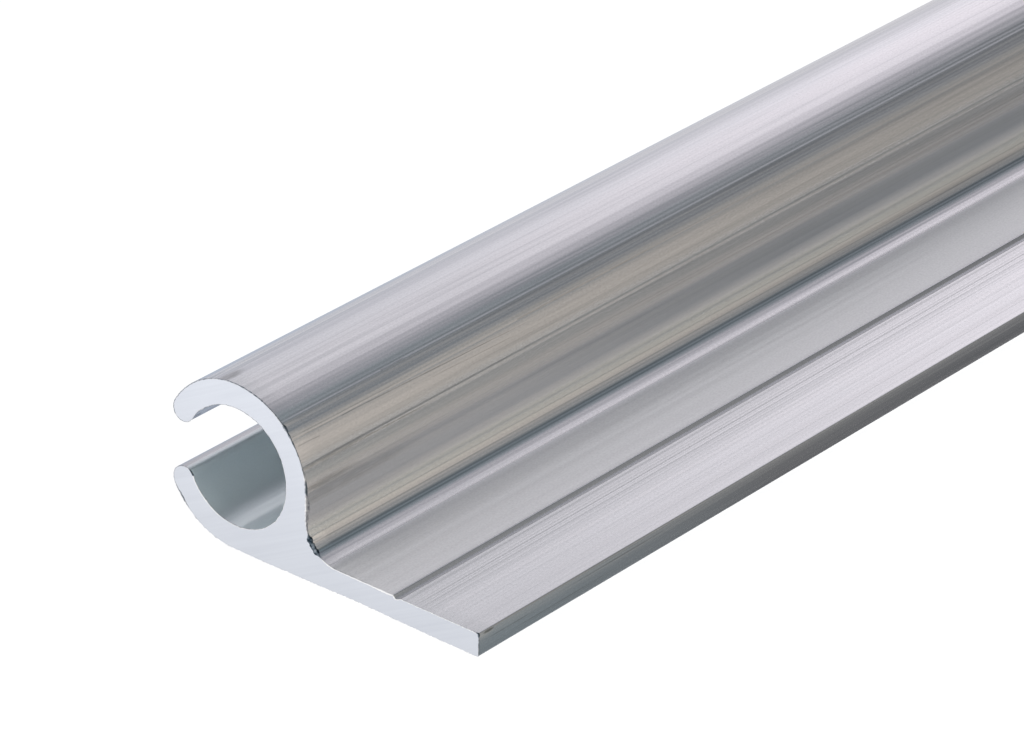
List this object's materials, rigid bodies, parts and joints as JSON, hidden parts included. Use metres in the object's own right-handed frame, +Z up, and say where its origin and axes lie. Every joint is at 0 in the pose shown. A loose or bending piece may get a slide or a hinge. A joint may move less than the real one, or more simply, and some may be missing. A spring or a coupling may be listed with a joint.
{
  "type": "keder rail",
  "caption": "Aluminium extrusion: a C-shaped channel that holds a welt cord, with a flat grooved flange to screw it down by.",
  "frame": {"origin": "centre of the channel's round bore, in the plane of one sawn end", "axes": "+Y along the rail, +X across the flange from the channel to its free edge, +Z up, away from the flat underside"},
  "size_m": [0.0242, 1, 0.0113],
  "materials": {
    "mill_aluminium": "mill finish with fine lengthwise die lines, sawn ends"
  },
  "bodies": {
    "root": {"keder_rail": "mill_aluminium"}
  },
  "joints": []
}
